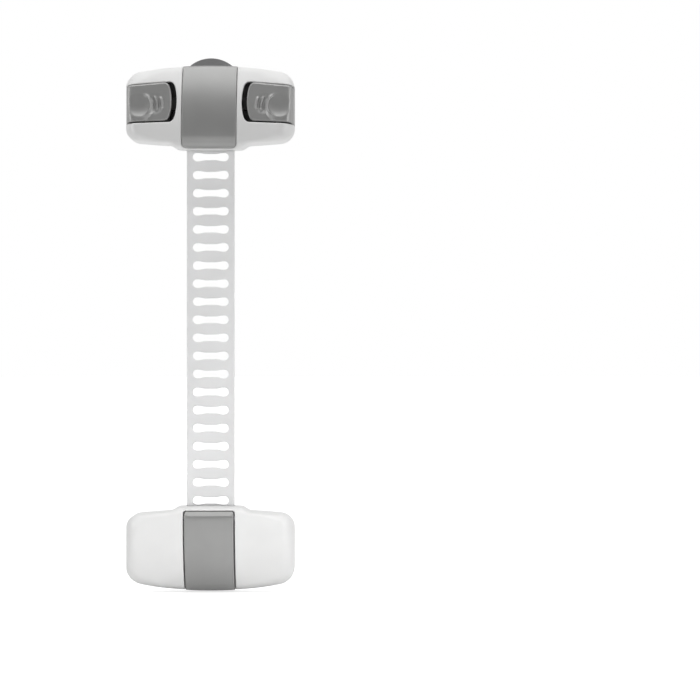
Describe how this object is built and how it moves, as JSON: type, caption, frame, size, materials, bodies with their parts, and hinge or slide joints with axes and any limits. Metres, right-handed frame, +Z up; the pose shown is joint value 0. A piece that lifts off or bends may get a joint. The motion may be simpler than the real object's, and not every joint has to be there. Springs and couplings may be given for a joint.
{
  "type": "cabinet safety lock",
  "caption": "Adhesive strap lock for a cabinet door: a latch pod freed by squeezing its side buttons, a slotted flexible strap and an anchor pod with a flip cover.",
  "frame": {"origin": "centre of the latch pod's adhesive face, where it sticks to the door", "axes": "+Z up along the strap towards the latch pod, +Y into the door, out of the adhesive faces, +X to the right seen from the front"},
  "size_m": [0.06, 0.017, 0.1901],
  "materials": {
    "white_plastic": "satin moulded",
    "grey_plastic": "satin moulded",
    "dark_plastic": "fine matt texture",
    "strap_plastic": "translucent satin",
    "foam_tape": "matt closed-cell foam",
    "bright_steel": "drawn wire",
    "zinc_steel": "zinc plated"
  },
  "bodies": {
    "latch_base": {"latch_adhesive_pad": "foam_tape", "latch_base_plate": "dark_plastic"},
    "latch_pod": {"latch_housing": "white_plastic", "latch_back_cover": "dark_plastic", "latch_band": "grey_plastic", "latch_screws": "zinc_steel", "strap_pin": "bright_steel", "left_spring": "bright_steel", "right_spring": "bright_steel", "strap": "strap_plastic", "strap_bend": "strap_plastic"},
    "left_button": {"left_button": "grey_plastic"},
    "right_button": {"right_button": "grey_plastic"},
    "strap_tail": {"strap_tail": "strap_plastic"},
    "anchor_pod": {"anchor_housing": "white_plastic", "anchor_base": "white_plastic", "anchor_adhesive_pad": "foam_tape", "anchor_screws": "zinc_steel", "anchor_hinge_pin": "bright_steel"},
    "anchor_cover": {"anchor_cover": "grey_plastic"}
  },
  "joints": [
    {"name": "latch_release", "type": "slide", "parent": "latch_base", "child": "latch_pod", "axis": [0, -1, 0], "range_m": [0, 0.024]},
    {"name": "left_button_slide", "type": "slide", "parent": "latch_pod", "child": "left_button", "axis": [1, 0, 0], "range_m": [0, 0.0015], "stiffness_N_per_m": 400, "springref_m": -0.003, "deforming": ["left_spring"]},
    {"name": "right_button_slide", "type": "slide", "parent": "latch_pod", "child": "right_button", "axis": [-1, 0, 0], "range_m": [0, 0.0015], "stiffness_N_per_m": 400, "springref_m": -0.003, "deforming": ["right_spring"]},
    {"name": "strap_flex", "type": "hinge", "parent": "latch_pod", "child": "strap_tail", "pos_m": [0, -0.0053, -0.07855], "axis": [1, 0, 0], "range_deg": [-90, 90], "stiffness_Nm_per_rad": 0.02, "deforming": ["strap_bend"]},
    {"name": "strap_adjust", "type": "slide", "parent": "strap_tail", "child": "anchor_pod", "axis": [0, 0, 1], "range_m": [0, 0.0387]},
    {"name": "anchor_cover_hinge", "type": "hinge", "parent": "anchor_pod", "child": "anchor_cover", "pos_m": [0, -0.0144, -0.14544], "axis": [-1, 0, 0], "range_deg": [0, 90]}
  ]
}
